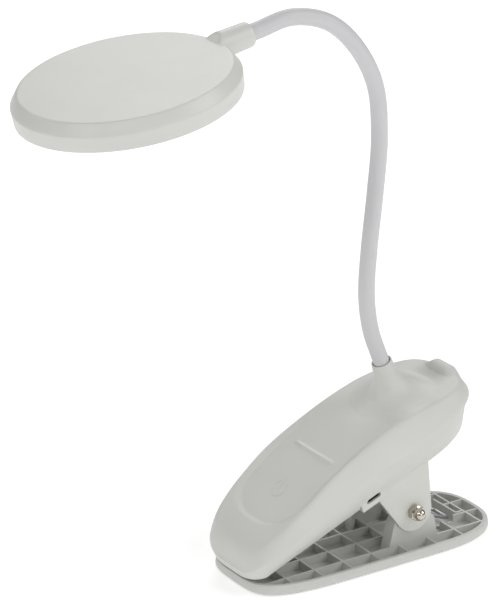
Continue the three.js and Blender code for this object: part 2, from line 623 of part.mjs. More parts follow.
addPiece('lower_jaw', lowerJaw(), SHELL_WHITE);
addPiece('torsion_spring', torsionSpring(), STEEL);

addPiece('upper_shell', upperShell(), SHELL_WHITE);
addPiece('lower_shell', lowerShell(), SHELL_WHITE);
addPiece('pivot_rod', pivotRod(), STEEL);
addPiece('spring_mandrel', springMandrel(), MANDREL_WHITE);
addPiece('acorn_nut_left', acornNut(-1), NICKEL);
addPiece('acorn_nut_right', acornNut(1), NICKEL);
addPiece('battery_cell', batteryCell(), CELL_BLUE);
addPiece('battery_lead_red', batteryLeadRed(), WIRE_RED);
addPiece('battery_lead_black', batteryLeadBlack(), WIRE_BLACK);
addPiece('control_board', controlBoard(), BOARD_GREEN);
addPiece('control_chip', controlChip(), WIRE_BLACK);
addPiece('charge_indicator', chargeLamp(), DIFFUSER_WHITE);
addPiece('usb_socket', usbSocket(), STEEL);
addPiece('touch_plate', touchPlate(), COPPER);
addPiece('touch_lead', touchLead(), WIRE_BLACK);
SHELL_SCREWS.forEach((spot, i) => addPiece(`shell_screw_${i + 1}`, shellScrew(spot), STEEL));

const breaks = neckBreaks();
const lastBreak = breaks[NECK.links];
addPiece('neck_locknut', neckLocknut(), STEEL);
addPiece('neck_root', neckPiece(0, breaks[0] - GAP / 2), NECK_WHITE);
for (let i = 0; i < NECK.links; i++) {
  const [start, end] = [breaks[i] + GAP / 2, breaks[i + 1] - GAP / 2];
  addPiece(`neck_link_${i + 1}`, neckPiece(start, end), NECK_WHITE);
}
addPiece('neck_end', neckPiece(lastBreak + GAP / 2, NECK_LENGTH), NECK_WHITE);

addPiece('head_shell', headShell(), SHELL_WHITE);
addPiece('led_board', ledBoard(), BOARD_WHITE);
addPiece('reflector_ring', reflectorRing(), DIFFUSER_WHITE);
addPiece('diffuser', diffuser(), DIFFUSER_WHITE);
SCREW_ANGLES.forEach((angle, i) => addPiece(`head_screw_${i + 1}`, headScrew(angle), STEEL));

export default lamp;
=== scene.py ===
"""Looks of the clip-on reading lamp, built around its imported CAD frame.

Sizes are in millimetres in the row frame (+Z up, front towards -Y) and turned into metres when a
mesh is made. The housing is set out in its own leaning frame: s runs up its sole from the nose,
h stands square off the sole and x is across.
"""

import json
import math

import bmesh
import bpy
import numpy as np
from mathutils import Matrix, Vector

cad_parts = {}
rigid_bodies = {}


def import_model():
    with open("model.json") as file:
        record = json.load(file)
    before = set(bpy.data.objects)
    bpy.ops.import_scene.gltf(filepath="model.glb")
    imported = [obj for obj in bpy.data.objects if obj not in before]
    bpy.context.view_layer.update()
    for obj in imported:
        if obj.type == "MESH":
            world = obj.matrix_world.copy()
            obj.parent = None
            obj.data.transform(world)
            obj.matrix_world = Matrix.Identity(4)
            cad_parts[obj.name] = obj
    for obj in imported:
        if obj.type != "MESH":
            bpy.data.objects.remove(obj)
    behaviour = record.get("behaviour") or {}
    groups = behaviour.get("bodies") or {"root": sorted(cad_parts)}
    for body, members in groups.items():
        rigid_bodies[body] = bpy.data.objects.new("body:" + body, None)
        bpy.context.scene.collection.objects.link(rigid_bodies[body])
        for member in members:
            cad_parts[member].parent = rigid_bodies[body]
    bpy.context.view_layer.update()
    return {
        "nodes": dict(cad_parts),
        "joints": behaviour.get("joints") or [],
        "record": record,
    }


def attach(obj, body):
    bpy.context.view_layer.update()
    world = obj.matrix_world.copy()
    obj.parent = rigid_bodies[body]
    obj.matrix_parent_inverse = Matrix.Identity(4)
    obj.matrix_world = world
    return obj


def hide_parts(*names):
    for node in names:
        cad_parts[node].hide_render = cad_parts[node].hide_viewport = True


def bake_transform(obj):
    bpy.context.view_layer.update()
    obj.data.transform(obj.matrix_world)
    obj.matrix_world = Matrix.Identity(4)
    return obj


MM = 0.001
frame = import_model()

# ---- driving dimensions of the clip ----
# A plan is a long oval: superellipse ends, each with its own power, that begin at the blends.
JAW = dict(half=29.0, front=-69.35, rear=69.35, height=5.7, floor=1.2, rim=2.5)
JAW_PLAN = dict(front_blend=-5.35, rear_blend=24.95, front_power=4.0, rear_power=2.8)
JAW_EDGE = [(3.2, 0.0), (2.3, 0.12), (1.5, 0.45), (0.8, 0.95), (0.3, 1.65), (0.05, 2.5), (0.05, 3.3),
            (0.18, 4.4), (0.38, 5.3), (0.55, 5.58), (0.85, JAW["height"])]  # (inset, z), upwards
RIB = dict(thick=1.0, top=5.5, sunk=0.3, side_x=(6.13, 18.4), first_y=-51.95, pitch_y=15.95, count=8,
           half_length=68, half_width=28)
BAY = dict(x0=-18.4, x1=6.13, y0=43.75, y1=55.6, wall_x0=-14.0, wall_x1=4.2, wall_end=4.5, floor=0.3)
BAY_THROAT = (-8, 8, 26, 52.5, 2.4, 10)  # x, y and z ranges
PIVOT = (18.0, 22.5)  # (y, z)
JAW_LUG = dict(outer=19.0, thick=2.5, tip=8.0, flange=12.5)
BODY_LUG = dict(outer=21.7, inner=19.4, tip=10.0)
ROD = dict(radius=2.0, reach=25.8, mandrel_r=3.0, mandrel_reach=16.0)
NUT = dict(flats=7.0, hex_high=3.2, tall=7.0, dome_r=2.9)
SPRING = dict(inner=5.0, pitch=1.85, turns=3.378, coil_r=4.2, wire_r=0.9, start=-112)

# ---- driving dimensions of the housing ----
HOUSING = dict(nose_y=-70.0, nose_z=7.25, tilt=math.radians(22.05), length=140.8, half=28.5)
HOUSING_PLAN = dict(front_blend=64.0, rear_blend=96.0, front_power=4.0, rear_power=3.2)
SOLE = dict(half=20.5, share=0.93)
COLUMNS = 360
# Lines of (s, h): the top along the middle, the widest line of the side, and the parting line.
CREST = [(0, 4), (4, 9.6), (11, 14.6), (20, 18), (33, 21.9), (53, 27.2), (78, 30.2),
         (102, 29.6), (116, 27.4), (139, 23.2)]
SHOULDER = [(0, 3.6), (5, 7), (12, 9.2), (26, 12), (39, 14.7), (60, 17), (94, 17.8),
            (119, 17.7), (139, 17.4)]
PARTING = [(62.5, 0), (62.8, 6.5), (67, 13), (75.6, 16.9), (93.7, 14), (115.4, 14.7),
           (126.9, 16.1), (145, 17.5)]
RECESS = dict(s=17.5, nose=24, half=25, power=2.6, depth=1.6, edge=4, fade_from=62, fade=26)
RIDGE = dict(s=59.0, half=16, end=2.5, height=0.8, rise=0.9, fall_from=60.0, fall=1.8)
DISH = dict(s=127, half_x=14, half_s=9, depth=1.7, edge=0.9)
TAB = dict(half=10.6, end=5.4, from_s=129.6, rise=6.4, s=137.0, reach=4.0, base=22.9, height=3.0)
HULL = [(-1.7, 19.6, 126.5), (1, 21.6, 131), (4, 23, 132.9), (8, 24.9, 133.9), (12, 26.2, 135.6),
        (18, 27.3, 138)]  # (h, half width, rear end)
HULL_PLAN = dict(front_blend=64.0, rear_blend=100.8, front_power=4.0, rear_power=3.6)
HULL_FRONT = 62.8
CHARGE_PANEL = dict(rear=78.0, top=17.0, inner=19.7, outer=22.3)
USB = dict(s=70.2, h=2.1, length=8.2, height=2.4, can_half_s=3.6, can_half_h=0.9, back=13.4, front=21.9)
POWER_MARK = dict(s=37.7, radius=4.1, wire=0.3, lift=0.02)
WALL = 2.0
CROWN_WALL = 2.4
GAP = 0.3
BOSS = dict(s=108.2, h=28.7, height=18.4, bore=4.2, shear=0.036)
BOSS_TOP = BOSS["h"] + BOSS["height"]
FLARE = [(4.95, 0.5), (5.1, 2.5), (5.4, 4.8), (5.9, 7.2), (6.6, 9.4), (7.7, 11.6), (9.3, 13.7),
         (11.4, 15.4), (14, 16.7), (17, 17.6), (20.5, 18.2)]  # (radius, depth below the boss's top)
FLARE_FOOT_R, FLARE_FOOT_H = FLARE[-1][0], BOSS_TOP - FLARE[-1][1]

# ---- driving dimensions of the neck and head ----
NECK_R = 3.85
NECK_POINTS = [(22, 67.5), (13, 92.3), (7, 108.4), (4.3, 126), (5.3, 148), (8.3, 176),
               (10.1, 202), (7.2, 226.5), (-3.5, 246), (-18.5, 259.4), (-38, 264.7),
               (-55.4, 261.6), (-73.5, 258.3)]  # (y, z) from the boss to the head
HEAD = dict(y=-121.87, z=247.46, tilt=math.radians(10.48))
HEAD_SIDES = 256
DISC = dict(radius=50.0, base=49.6, top=46.5, rise=4.8, drop=7.33, wall=1.8)
COLLAR = dict(radius=5.75, length=13.5, lift=1.7, bore=4.2)
# The collar widens a little towards the disc (radius, distance from the axis), and its back slopes
# down into the disc's top.
COLLAR_FLARE = [(0, 44.0), (5.8, 44.1), (6.25, 45.0), (6.2, 47.5), (6.0, 52.0)]
COLLAR_SLOPE = dict(start=44.5, rise=0.8)


# ---- numbers ----
def height_on(line, at):
    """Smooth height along a line of given (position, height) points."""
    xs = np.array([p[0] for p in line], float)
    hs = np.array([p[1] for p in line], float)
    before = np.r_[0, np.arange(len(line) - 1)]
    after = np.r_[np.arange(1, len(line)), len(line) - 1]
    slopes = (hs[after] - hs[before]) / (xs[after] - xs[before])
    at = np.clip(np.asarray(at, float), xs[0], xs[-1])
    i = np.clip(np.searchsorted(xs, at, side="left"), 1, len(xs) - 1)
    span = xs[i] - xs[i - 1]
    t = (at - xs[i - 1]) / span
    t2, t3 = t * t, t * t * t
    return (
        (2 * t3 - 3 * t2 + 1) * hs[i - 1] + (t3 - 2 * t2 + t) * span * slopes[i - 1]
        + (3 * t2 - 2 * t3) * hs[i] + (t3 - t2) * span * slopes[i]
    )


def smooth(t):
    """0 below 0, 1 above 1, and an S between."""
    t = np.clip(t, 0, 1)
    return t * t * (3 - 2 * t)


def plan_outline(plan, half, front, rear, count):
    """A long oval of count points (x, along): superellipse ends joined by straight sides."""
    angle = np.arange(count) * 2 * math.pi / count
    sin, cos = np.sin(angle), np.cos(angle)
    power = np.where(cos < 0, 2 / plan["front_power"], 2 / plan["rear_power"])
    x = half * np.sign(sin) * np.abs(sin) ** power
    reach = np.abs(cos) ** power
    at_front = plan["front_blend"] + (front - plan["front_blend"]) * reach
    at_rear = plan["rear_blend"] + (rear - plan["rear_blend"]) * reach
    return np.stack([x, np.where(cos < 0, at_front, at_rear)], 1)


def evenly(points, count):
    """The closed outline again, with count points at equal distances."""
    closed = np.vstack([points, points[:1]])
    steps = np.linalg.norm(np.diff(closed, axis=0), axis=1)
    along = np.r_[0, np.cumsum(steps)]
    at = np.arange(count) * along[-1] / count
    return np.stack([np.interp(at, along, closed[:, k]) for k in range(closed.shape[1])], 1)


def oval(plan, half, front, rear, count):
    fine_count = 2400
    return evenly(plan_outline(plan, half, front, rear, fine_count), count)


def drawn_in(plan, points, share):
    """The plan's points moved towards its spine; share is how far out they stay."""
    spine = np.clip(points[:, 1], plan["front_blend"], plan["rear_blend"])
    return np.stack([points[:, 0] * share, spine + (points[:, 1] - spine) * share], 1)


def at_height(points, z):
    return np.column_stack([points, np.broadcast_to(z, len(points))])


# ---- meshes ----
def ring_faces(rings, columns, close_rings=False):
    """Quads between successive rings of equal counts."""
    faces = []
    last = rings if close_rings else rings - 1
    for r in range(last):
        upper = (r + 1) % rings
        for c in range(columns):
            d = (c + 1) % columns
            faces.append((r * columns + c, r * columns + d, upper * columns + d, upper * columns + c))
    return faces


def make_piece(name, verts, faces, sharp=35.0):
    mesh = bpy.data.meshes.new(name)
    mesh.from_pydata([tuple(float(c) * MM for c in v) for v in verts], [], faces)
    piece = bpy.data.objects.new(name, mesh)
    bpy.context.scene.collection.objects.link(piece)
    tidy_mesh(piece, sharp)
    return piece


def tidy_mesh(piece, sharp=35.0):
    """Joins doubled points, turns every face outwards and sets which edges look sharp."""
    bm = bmesh.new()
    bm.from_mesh(piece.data)
    bmesh.ops.remove_doubles(bm, verts=bm.verts, dist=2e-7)
    bmesh.ops.dissolve_degenerate(bm, edges=bm.edges, dist=1e-7)
    bmesh.ops.recalc_face_normals(bm, faces=bm.faces)
    bm.to_mesh(piece.data)
    bm.free()
    piece.data.shade_smooth()
    piece.data.set_sharp_from_angle(angle=math.radians(sharp))


def loft(name, rings, sharp=35.0, close_rings=False):
    """A skin over rings of points; without close_rings its two ends are capped."""
    columns = len(rings[0])
    faces = ring_faces(len(rings), columns, close_rings)
    if not close_rings:
        faces.append(tuple(range(columns)))
        faces.append(tuple(range((len(rings) - 1) * columns, len(rings) * columns)))
    return make_piece(name, np.vstack(rings), faces, sharp)


def lathe(name, profile, sides, sharp=35.0):
    """A turned piece about +Z; the profile is closed by its own last point."""
    angles = np.arange(sides) * 2 * math.pi / sides
    rings = [np.column_stack([r * np.cos(angles), r * np.sin(angles), np.full(sides, h)])
             for r, h in profile]
    on_axis = abs(profile[0][0]) < 1e-9
    return loft(name, rings, sharp, close_rings=not on_axis)


def side_plate(name, outline, x0, x1):
    """A (y, z) outline extruded along X."""
    points = np.array(outline, float)
    rings = [np.column_stack([np.full(len(points), x), points]) for x in (x0, x1)]
    return loft(name, rings)


def block(name, x0, x1, y0, y1, z0, z1):
    return side_plate(name, [(y0, z0), (y1, z0), (y1, z1), (y0, z1)], x0, x1)


def plate_on(side, name, outline, inner, outer):
    """A plate from inner to outer on the left (side -1) or on the right (side 1)."""
    return side_plate(name, outline, *sorted((side * inner, side * outer)))


def arc(cx, cy, radius, start, end, steps):
    """Points on a circle from start to end, in degrees."""
    angles = np.radians(np.linspace(start, end, steps + 1))
    return [(cx + radius * math.cos(a), cy + radius * math.sin(a)) for a in angles]


def apply_modifiers(piece):
    graph = bpy.context.evaluated_depsgraph_get()
    mesh = bpy.data.meshes.new_from_object(piece.evaluated_get(graph))
    piece.modifiers.clear()
    piece.data = mesh


def cut_or_join(piece, other, operation, own_parts=False):
    modifier = piece.modifiers.new("boolean", "BOOLEAN")
    modifier.operation = operation
    modifier.solver = "EXACT"
    modifier.use_self = own_parts
    modifier.object = other
    apply_modifiers(piece)
    bpy.data.objects.remove(other)
    tidy_mesh(piece)
    return piece


def join_all(pieces, name):
    """One object holding every piece's mesh, not yet fused."""
    whole = bmesh.new()
    for piece in pieces:
        piece.data.transform(piece.matrix_world)
        whole.from_mesh(piece.data)
        bpy.data.objects.remove(piece)
    mesh = bpy.data.meshes.new(name)
    whole.to_mesh(mesh)
    whole.free()
    joined = bpy.data.objects.new(name, mesh)
    bpy.context.scene.collection.objects.link(joined)
    return joined


def round_edges(piece, width):
    modifier = piece.modifiers.new("bevel", "BEVEL")
    modifier.width = width * MM
    modifier.segments = 2
    modifier.limit_method = "ANGLE"
    modifier.angle_limit = math.radians(40)
    apply_modifiers(piece)
    tidy_mesh(piece, 50.0)
    return piece


def moved(piece, matrix):
    """Moves a piece within its own mesh, so that its object stays at the origin."""
    piece.data.transform(matrix)
    piece.data.update()
    return piece


def leaning(tilt, y, z):
    """Places a frame that leans back by tilt about X, with its origin at (y, z)."""
    return Matrix.Translation((0, y * MM, z * MM)) @ Matrix.Rotation(tilt, 4, "X")


HOUSING_PLACE = leaning(HOUSING["tilt"], HOUSING["nose_y"], HOUSING["nose_z"])
HEAD_PLACE = leaning(HEAD["tilt"], HEAD["y"], HEAD["z"])


# ---- materials ----
def new_material(name, roughness, metallic=0.0, specular=0.5, coat=0.0):
    material = bpy.data.materials.new(name)
    material.use_nodes = True
    shader = material.node_tree.nodes["Principled BSDF"]
    shader.inputs["Roughness"].default_value = roughness
    shader.inputs["Metallic"].default_value = metallic
    shader.inputs["Specular IOR Level"].default_value = specular
    shader.inputs["Coat Weight"].default_value = coat
    return material, material.node_tree, shader


def noise(tree, scale, detail=3.0, roughness=0.5, stretch=None):
    """Noise in the object's own coordinates, in metres, so it keeps its real size."""
    nodes, links = tree.nodes, tree.links
    place = nodes.new("ShaderNodeTexCoord")
    texture = nodes.new("ShaderNodeTexNoise")
    texture.inputs["Scale"].default_value = scale
    texture.inputs["Detail"].default_value = detail
    texture.inputs["Roughness"].default_value = roughness
    source = place.outputs["Object"]
    if stretch:
        mapping = nodes.new("ShaderNodeMapping")
        mapping.inputs["Scale"].default_value = stretch
        links.new(source, mapping.inputs["Vector"])
        source = mapping.outputs["Vector"]
    links.new(source, texture.inputs["Vector"])
    return texture.outputs["Fac"]


def ramp(tree, factor, stops):
    """A colour ramp with two stops, each (position, colour or grey)."""
    node = tree.nodes.new("ShaderNodeValToRGB")
    elements = node.color_ramp.elements
    for element, (position, value) in zip(elements, stops):
        element.position = position
        colour = value if hasattr(value, "__len__") else (value, value, value)
        element.color = (*colour, 1.0)
    tree.links.new(factor, node.inputs["Fac"])
    return node.outputs["Color"]


def bumped(tree, shader, factor, strength, distance):
    """Raises the surface's shading by the factor, as much as distance in metres."""
    node = tree.nodes.new("ShaderNodeBump")
    node.inputs["Strength"].default_value = strength
    node.inputs["Distance"].default_value = distance
    tree.links.new(factor, node.inputs["Height"])
    tree.links.new(node.outputs["Normal"], shader.inputs["Normal"])


def moulded_plastic(name, colour, roughness, grain, depth):
    """Moulded plastic: a fine spark-eroded grain and a faint unevenness of tone and gloss."""
    material, tree, shader = new_material(name, roughness)
    drift = noise(tree, 45, detail=4)
    low = tuple(c * 0.97 for c in colour)
    tree.links.new(ramp(tree, drift, [(0.3, low), (0.7, colour)]), shader.inputs["Base Color"])
    gloss = noise(tree, 300, detail=2)
    spread = ramp(tree, gloss, [(0.3, roughness - 0.01), (0.7, roughness + 0.015)])
    tree.links.new(spread, shader.inputs["Roughness"])
    bumped(tree, shader, noise(tree, grain, detail=2, roughness=0.6), 0.35, depth)
    return material


def milky_diffuser():
    """Opal plastic that scatters light, with a fine frosted surface."""
    material, tree, shader = new_material("milky_diffuser", 0.55)
    drift = noise(tree, 60, detail=3)
    tree.links.new(ramp(tree, drift, [(0.3, (0.82, 0.82, 0.80)), (0.7, (0.86, 0.86, 0.84))]),
                   shader.inputs["Base Color"])
    shader.inputs["Subsurface Weight"].default_value = 0.3
    shader.inputs["Subsurface Scale"].default_value = 0.003
    bumped(tree, shader, noise(tree, 3500, detail=1), 0.3, 0.00003)
    return material


def plated_metal(name, colour, roughness, grain):
    """Plated or drawn metal with a fine directional grain and slight tarnish."""
    material, tree, shader = new_material(name, roughness, metallic=1.0)
    tarnish = noise(tree, 500, detail=5)
    dull = tuple(c * 0.82 for c in colour)
    tree.links.new(ramp(tree, tarnish, [(0.35, dull), (0.65, colour)]), shader.inputs["Base Color"])
    lines = noise(tree, grain, detail=3, stretch=(0.1, 1.0, 1.0))
    spread = ramp(tree, lines, [(0.3, roughness * 0.7), (0.7, roughness * 1.4)])
    tree.links.new(spread, shader.inputs["Roughness"])
    bumped(tree, shader, lines, 0.15, 0.00001)
    return material


def circuit_board(name, mask, copper):
    """Solder mask over a network of tracks, which show as slightly lighter raised cells."""
    material, tree, shader = new_material(name, 0.4, coat=0.3)
    place = tree.nodes.new("ShaderNodeTexCoord")
    cells = tree.nodes.new("ShaderNodeTexVoronoi")
    cells.distance = "CHEBYCHEV"
    cells.inputs["Scale"].default_value = 420
    tree.links.new(place.outputs["Object"], cells.inputs["Vector"])
    tracks = ramp(tree, cells.outputs["Distance"], [(0.42, mask), (0.55, copper)])
    tree.links.new(tracks, shader.inputs["Base Color"])
    bumped(tree, shader, cells.outputs["Distance"], 0.2, 0.00003)
    return material


def shrink_wrap():
    """The blue film round the battery, slightly rippled along it."""
    material, tree, shader = new_material("shrink_wrap", 0.3, coat=0.4)
    drift = noise(tree, 90, detail=3, stretch=(1, 0.2, 1))
    tree.links.new(ramp(tree, drift, [(0.35, (0.03, 0.12, 0.32)), (0.65, (0.05, 0.17, 0.42))]),
                   shader.inputs["Base Color"])
    bumped(tree, shader, drift, 0.3, 0.0001)
    return material


def insulation(name, colour):
    """Soft wire covering, a little dusty."""
    material, tree, shader = new_material(name, 0.45)
    drift = noise(tree, 800, detail=2)
    low = tuple(c * 0.8 for c in colour)
    tree.links.new(ramp(tree, drift, [(0.3, low), (0.7, colour)]), shader.inputs["Base Color"])
    bumped(tree, shader, drift, 0.2, 0.00002)
    return material


MATERIALS = {
    "shell_plastic": moulded_plastic("shell_plastic", (0.60, 0.605, 0.57), 0.5, 2600, 0.00004),
    # The jaw's plastic is the shell's plastic painted darker: painted shade for its pockets and floor,
    # since the real jaw is the shell's colour.
    "jaw_painted_shade_plastic": moulded_plastic("jaw_painted_shade_plastic", (0.55, 0.555, 0.53), 0.5, 1800, 0.00003),
    "head_plastic": moulded_plastic("head_plastic", (0.62, 0.625, 0.59), 0.38, 1500, 0.000002),
    "neck_sleeve": moulded_plastic("sleeve_plastic", (0.57, 0.57, 0.58), 0.45, 900, 0.00001),
    "nickel_plate": plated_metal("nickel_plate", (0.60, 0.55, 0.48), 0.16, 900),
    "steel": plated_metal("steel", (0.42, 0.42, 0.43), 0.35, 1400),
    "copper": plated_metal("copper_foil", (0.75, 0.42, 0.22), 0.35, 1400),
    "battery_wrap": shrink_wrap(),
    "circuit_board": circuit_board("circuit_board", (0.02, 0.12, 0.05), (0.05, 0.22, 0.09)),
    "led_board_white": circuit_board("led_board_white", (0.75, 0.75, 0.73), (0.82, 0.82, 0.80)),
    "diffuser_milk": milky_diffuser(),
    "red_insulation": insulation("red_insulation", (0.45, 0.02, 0.015)),
    "black_insulation": insulation("black_insulation", (0.02, 0.02, 0.022)),
}


def finish_piece(piece, slot, body, replaced=(), material=None):
    """Gives a piece its material, its body and the CAD nodes that it stands for."""
    piece.data.materials.clear()
    piece.data.materials.append(MATERIALS[material or slot])
    if body:
        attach(piece, body)
    if replaced:
        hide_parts(*replaced)


# ---- lower jaw ----
def jaw_oval(inset):
    columns = 240
    return oval(JAW_PLAN, JAW["half"] - inset, JAW["front"] + inset, JAW["rear"] - inset, columns)


def jaw_tray():
    """The tray: up the outside, over the rim and down to the floor."""
    rings = [at_height(jaw_oval(inset), z) for inset, z in JAW_EDGE]
    rim = JAW["rim"]
    inner = [(rim - 0.3, JAW["height"]), (rim, 5.5), (rim + 0.12, JAW["floor"] + 0.5),
             (rim + 0.6, JAW["floor"])]
    rings += [at_height(jaw_oval(inset), z) for inset, z in inner]
    return loft("jaw_tray", rings)


def rib_bars():
    """The bars of the waffle, four along and eight across."""
    half, along, across = RIB["thick"] / 2, RIB["half_length"], RIB["half_width"]
    low, top = JAW["floor"] - RIB["sunk"], RIB["top"]
    bars = []
    for x in RIB["side_x"]:
        for centre in (-x, x):
            bars.append(block("rib", centre - half, centre + half, -along, along, low, top))
    for i in range(RIB["count"]):
        y = RIB["first_y"] + RIB["pitch_y"] * i
        bars.append(block("rib", -across, across, y - half, y + half, low, top))
    return bars


def bay_space():
    """The room that the ribs leave for the spring's bridge and legs."""
    half, above = RIB["thick"] / 2, 10
    main = block("bay", BAY["x0"] + half, BAY["x1"] - half, BAY["y0"] + half, BAY["y1"],
                 BAY["floor"], above)
    return join_all([main, block("throat", *BAY_THROAT)], "bay")


def bay_walls():
    half = RIB["thick"] / 2
    low, top, x1, y1 = JAW["floor"] - RIB["sunk"], RIB["top"], BAY["wall_x1"], BAY["y1"]
    across = block("wall", BAY["wall_x0"], x1, y1 - half, y1 + half, low, top)
    end = block("wall", x1 - half, x1 + half, y1, y1 + BAY["wall_end"], low, top)
    return join_all([across, end], "walls")


def clipped_ribs():
    """The waffle, cut to the inside of the rim, with the spring's bay left clear."""
    ribs = join_all(rib_bars(), "ribs")
    into_rim = 1.6
    inside = loft("inside", [at_height(jaw_oval(into_rim), z) for z in (0.6, 5.65)])
    cut_or_join(ribs, inside, "INTERSECT", own_parts=True)
    cut_or_join(ribs, bay_space(), "DIFFERENCE", own_parts=True)
    cut_or_join(ribs, bay_walls(), "UNION", own_parts=True)
    return ribs


def jaw_lug_outline():
    y, z = PIVOT
    return [(5, 1), (8.4, 16), *arc(y, z, JAW_LUG["tip"], 195, -15, 28), (31.5, 16), (34.7, 1)]


def jaw_lugs():
    """Two upright cheeks with the spring between them, each with a flange turned in at both edges."""
    outer, thick, reach = JAW_LUG["outer"], JAW_LUG["thick"], JAW_LUG["flange"]
    front = [(5, 1), (8.4, 16), (10.6, 20.5), (12, 18), (10.6, 15), (7.2, 1)]
    rear = [(34.7, 1), (31.5, 16), (29.3, 15), (32.5, 1)]
    parts = []
    for side in (-1, 1):
        for outline, inner in ((jaw_lug_outline(), outer - thick), (front, reach), (rear, reach)):
            parts.append(plate_on(side, "lug", outline, inner, outer))
    return parts


def hinge_hole():
    radius, half = ROD["radius"] + 0.25, 40
    return side_plate("hole", arc(*PIVOT, radius, 0, 352.5, 47), -half, half)


def build_jaw():
    jaw = cut_or_join(jaw_tray(), clipped_ribs(), "UNION")
    jaw = cut_or_join(jaw, join_all(jaw_lugs(), "lugs"), "UNION", own_parts=True)
    jaw = cut_or_join(jaw, hinge_hole(), "DIFFERENCE")
    jaw.name = "lower_jaw_moulding"
    # The jaw wears the darker copy of its slot's plastic, which is painted shade.
    finish_piece(jaw, "shell_plastic", "jaw", ["lower_jaw"], material="jaw_painted_shade_plastic")


# ---- housing form ----
def housing_share(x, s):
    """How far a plan point is from the spine towards the outline: 1 on the outline."""
    plan, half = HOUSING_PLAN, HOUSING["half"]
    front = np.clip((plan["front_blend"] - s) / plan["front_blend"], 0, None)
    rear = np.clip((s - plan["rear_blend"]) / (HOUSING["length"] - plan["rear_blend"]), 0, None)
    across = np.abs(x) / half
    front_power, rear_power = plan["front_power"], plan["rear_power"]
    at_front = (across**front_power + front**front_power) ** (1 / front_power)
    at_rear = (across**rear_power + rear**rear_power) ** (1 / rear_power)
    return np.where(s < plan["rear_blend"], at_front, at_rear)


def recess_depth(x, s):
    """The spoon-shaped panel sunk into the top, fading out towards the neck."""
    half, power = RECESS["half"], RECESS["power"]
    nose = np.clip(1 - (s - RECESS["s"]) / RECESS["nose"], 0, None)
    radius = (np.abs(x / half) ** power + nose**power) ** (1 / power)
    inside = smooth((1 - radius) * half / RECESS["edge"])
    return RECESS["depth"] * inside * (1 - smooth((s - RECESS["fade_from"]) / RECESS["fade"]))


def dish_depth(x, s):
    """The thumb dish between the neck and the rear tab, with a soft-edged floor."""
    radius = np.sqrt((x / DISH["half_x"]) ** 2 + ((s - DISH["s"]) / DISH["half_s"]) ** 2)
    return DISH["depth"] * smooth((1 - radius) / DISH["edge"])


def ridge_height(x, s):
    """The low cross ridge behind the touch mark, steep in front and gentle behind."""
    across = smooth((RIDGE["half"] - np.abs(x)) / RIDGE["end"])
    steep = smooth((s - RIDGE["s"]) / RIDGE["rise"])
    gentle = 1 - smooth((s - RIDGE["fall_from"]) / RIDGE["fall"])
    return RIDGE["height"] * across * steep * gentle


def tab_share(x, s):
    """How far the rear edge is raised into the finger tab: 1 along the tab."""
    return smooth((TAB["half"] - np.abs(x)) / TAB["end"]) * smooth((s - TAB["from_s"]) / TAB["rise"])


def tab_height(s):
    away = (s - TAB["s"]) / TAB["reach"]
    return TAB["base"] + TAB["height"] * np.sqrt(np.clip(1 - away**2, 0, 1))


def crease_share(s):
    """Where the rounding from the side ends, as a share of the way out from the spine."""
    return 0.88 - 0.06 * smooth((s - 40) / 40) + 0.09 * smooth((s - 108) / 28)


def crown_height(x, s):
    """Height of the top at a plan point."""
    t = np.clip((1 - housing_share(x, s)) / (1 - crease_share(s)), 0, 1)
    lift = (1 - (1 - t) ** 2) ** 0.8
    low, high = height_on(SHOULDER, s), height_on(CREST, s)
    sunk = lift * (recess_depth(x, s) + dish_depth(x, s))
    top = low + (high - low) * lift - sunk + ridge_height(x, s)
    tab = tab_share(x, s)
    return top * (1 - tab) + np.maximum(tab_height(s), top) * tab


def housing_oval(inset=0.0):
    return oval(HOUSING_PLAN, HOUSING["half"] - inset, inset, HOUSING["length"] - inset, COLUMNS)


def sole_x(x, inset=0.0):
    """How far across the sole's edge is, below a point of the outline."""
    return np.sign(x) * np.minimum(np.abs(x) * SOLE["share"], SOLE["half"] - inset)


def lower_edge(s):
    """Height of the upper shell's lower edge: the sole in front, the parting line behind."""
    behind = np.interp(s, [p[0] for p in PARTING], [p[1] for p in PARTING])
    return np.where(s < PARTING[0][0], 0.0, behind)


def flank_ring(outline, t, inset):
    """Share t of the way up from the lower edge to the widest line."""
    x, s = outline[:, 0], outline[:, 1]
    top = height_on(SHOULDER, s)
    h = lower_edge(s) + (top - lower_edge(s)) * t
    full = np.clip(h / top, 0, 1)
    foot = sole_x(x, inset)
    return np.column_stack([foot + (x - foot) * (1 - (1 - full) ** 1.8), s, h])


def boss_ring(outline_ring, radius, plane_height, weight):
    """A ring round the boss in the outline's columns: on the crown at weight 0, level at 1."""
    centre_s = BOSS["s"]
    away = outline_ring[:, :2] - (0, centre_s)
    angle = np.arctan2(away[:, 0], away[:, 1])
    x = radius * np.sin(angle)
    s = centre_s + radius * np.cos(angle)
    lift = np.maximum(plane_height - BOSS["h"], 0)
    spread = crown_height(x, s) + plane_height - FLARE_FOOT_H
    h = spread * (1 - weight) + plane_height * weight
    return np.column_stack([x, s + BOSS["shear"] * lift, h])


def crown_rings(edge_ring):
    """Rings from just inside the rounded edge in to the foot of the boss flare."""
    foot = boss_ring(edge_ring, FLARE_FOOT_R, FLARE_FOOT_H, 0)[:, :2]
    rings = []
    for t in np.linspace(0, 1, 150)[1:]:
        plan = edge_ring[:, :2] * (1 - t) + foot * t
        rings.append(at_height(plan, crown_height(plan[:, 0], plan[:, 1])))
    return rings


def flare_rings(edge):
    """Rings up the boss, which follow the crown at its foot and become level."""
    radii, drops = np.array(FLARE[::-1]).T
    index = np.arange(len(FLARE))
    rings = []
    for t in np.linspace(0, 1, 40)[1:]:
        at = t * index[-1]
        r, drop = np.interp(at, index, radii), np.interp(at, index, drops)
        rings.append(boss_ring(edge, r, BOSS_TOP - drop, smooth(t / 0.6)))
    return rings


